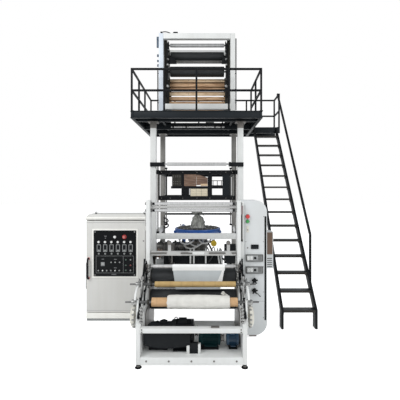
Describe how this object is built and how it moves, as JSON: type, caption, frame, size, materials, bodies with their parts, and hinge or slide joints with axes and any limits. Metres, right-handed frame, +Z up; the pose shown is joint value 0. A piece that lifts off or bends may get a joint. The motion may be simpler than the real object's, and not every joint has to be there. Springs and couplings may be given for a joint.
{
  "type": "blown film extrusion machine",
  "caption": "Blown film line: steel tower with haul-off platform, stair, air ring and die, extruder, two-shaft film winder and control cabinet.",
  "frame": {"origin": "on the floor under the die, at the tower's centre", "axes": "+X to the right and +Y away from the operator at the winder, +Z up"},
  "size_m": [4.86, 5.16, 5.84],
  "materials": {
    "white_paint": "warm white powder coat",
    "tower_paint": "white powder coat",
    "black_paint": "satin black paint",
    "bare_steel": "ground steel",
    "roller_chrome": "pale anodised roller",
    "roller_rubber": "black rubber cover",
    "slat_wood": "oiled wood slats",
    "blue_paint": "blue enamel",
    "film": "milky polyethylene film",
    "machine_grey": "grey machine paint",
    "motor_paint": "dark motor enamel",
    "paper_core": "wound kraft paper tube",
    "black_plastic": "textured black panel"
  },
  "bodies": {
    "frame": {"air_blower": "machine_grey", "air_ring": "blue_paint", "cabinet_body": "white_paint", "cage_screws": "bare_steel", "collapsing_rails": "black_paint", "collapsing_slats": "slat_wood", "die_bag": "film", "die_head": "bare_steel", "drive_housing": "white_paint", "extruder_barrel": "machine_grey", "extruder_base": "machine_grey", "extruder_drive": "machine_grey", "feed_hopper": "machine_grey", "film_sheet": "film", "gear_covers": "white_paint", "haul_motor": "motor_paint", "housing_gauges": "black_plastic", "nip_frame_beams": "white_paint", "nip_frame_posts": "white_paint", "nip_side_plates": "black_paint", "platform_cross_channels": "black_paint", "platform_deck_ends": "black_paint", "platform_deck_sides": "black_paint", "platform_side_channels": "black_paint", "railing_cross_rails": "black_paint", "railing_posts": "black_paint", "railing_side_rails": "black_paint", "shaft_arms": "bare_steel", "stair_handrail": "black_paint", "stair_stringers": "black_paint", "stair_treads": "black_paint", "tower_beams": "tower_paint", "tower_posts": "white_paint", "tower_roller_brackets": "black_paint", "winder_beams": "white_paint", "winder_feet": "bare_steel", "winder_motors": "motor_paint", "winder_sides": "white_paint"},
    "bubble_cage": {"cage_posts": "black_paint", "cage_bars": "black_paint", "cage_arms": "black_paint"},
    "cabinet_door": {"cabinet_door": "white_paint", "cabinet_panel": "black_plastic", "cabinet_handle": "black_plastic"},
    "rubber_nip_roller": {"nip_roller_rubber": "roller_rubber"},
    "steel_nip_roller": {"nip_roller_steel": "roller_chrome"},
    "draw_roller": {"draw_roller": "roller_rubber"},
    "haul_guide_roller": {"haul_guide_roller": "roller_chrome"},
    "tower_guide_roller": {"tower_guide_roller": "roller_chrome"},
    "guide_roller_top": {"guide_roller_top": "roller_chrome"},
    "guide_roller_bottom": {"guide_roller_bottom": "roller_chrome"},
    "film_roller": {"film_roller": "roller_chrome"},
    "upper_drum": {"upper_drum": "roller_rubber"},
    "lower_drum": {"lower_drum": "roller_rubber"},
    "upper_shaft": {"winding_shaft_upper": "bare_steel", "winding_core_upper": "paper_core"},
    "lower_shaft": {"winding_shaft_lower": "bare_steel", "winding_core_lower": "paper_core", "film_roll": "film"}
  },
  "joints": [
    {"name": "cage_lift", "type": "slide", "parent": "frame", "child": "bubble_cage", "axis": [0, 0, 1], "range_m": [-0.3, 0.08]},
    {"name": "door_swing", "type": "hinge", "parent": "frame", "child": "cabinet_door", "pos_m": [-0.903, -2.19, 1], "axis": [0, 0, 1], "range_deg": [0, 80]},
    {"name": "rubber_nip_spin", "type": "hinge", "parent": "frame", "child": "rubber_nip_roller", "pos_m": [0, -0.4505, 5.487], "axis": [1, 0, 0], "continuous": true},
    {"name": "steel_nip_spin", "type": "hinge", "parent": "frame", "child": "steel_nip_roller", "pos_m": [0, -0.2595, 5.487], "axis": [1, 0, 0], "continuous": true},
    {"name": "draw_spin", "type": "hinge", "parent": "frame", "child": "draw_roller", "pos_m": [0, -0.545, 5.093], "axis": [1, 0, 0], "continuous": true},
    {"name": "haul_guide_spin", "type": "hinge", "parent": "frame", "child": "haul_guide_roller", "pos_m": [0, -0.545, 5.7], "axis": [1, 0, 0], "continuous": true},
    {"name": "tower_guide_spin", "type": "hinge", "parent": "frame", "child": "tower_guide_roller", "pos_m": [0, -0.99, 2.93], "axis": [1, 0, 0], "continuous": true},
    {"name": "top_guide_spin", "type": "hinge", "parent": "frame", "child": "guide_roller_top", "pos_m": [0, -2.9, 2.155], "axis": [1, 0, 0], "continuous": true},
    {"name": "bottom_guide_spin", "type": "hinge", "parent": "frame", "child": "guide_roller_bottom", "pos_m": [0, -2.9, 2.049], "axis": [1, 0, 0], "continuous": true},
    {"name": "film_roller_spin", "type": "hinge", "parent": "frame", "child": "film_roller", "pos_m": [0, -3.04, 1.19], "axis": [1, 0, 0], "continuous": true},
    {"name": "upper_drum_spin", "type": "hinge", "parent": "frame", "child": "upper_drum", "pos_m": [0, -2.86, 0.985], "axis": [1, 0, 0], "continuous": true},
    {"name": "lower_drum_spin", "type": "hinge", "parent": "frame", "child": "lower_drum", "pos_m": [0, -2.96, 0.66], "axis": [1, 0, 0], "continuous": true},
    {"name": "upper_shaft_spin", "type": "hinge", "parent": "frame", "child": "upper_shaft", "pos_m": [0, -3.25, 0.973], "axis": [1, 0, 0], "continuous": true},
    {"name": "lower_shaft_spin", "type": "hinge", "parent": "frame", "child": "lower_shaft", "pos_m": [0, -3.54, 0.807], "axis": [1, 0, 0], "continuous": true}
  ],
  "couplings": [
    {"joint": "steel_nip_spin", "follows": "rubber_nip_spin", "ratio": -1}
  ]
}
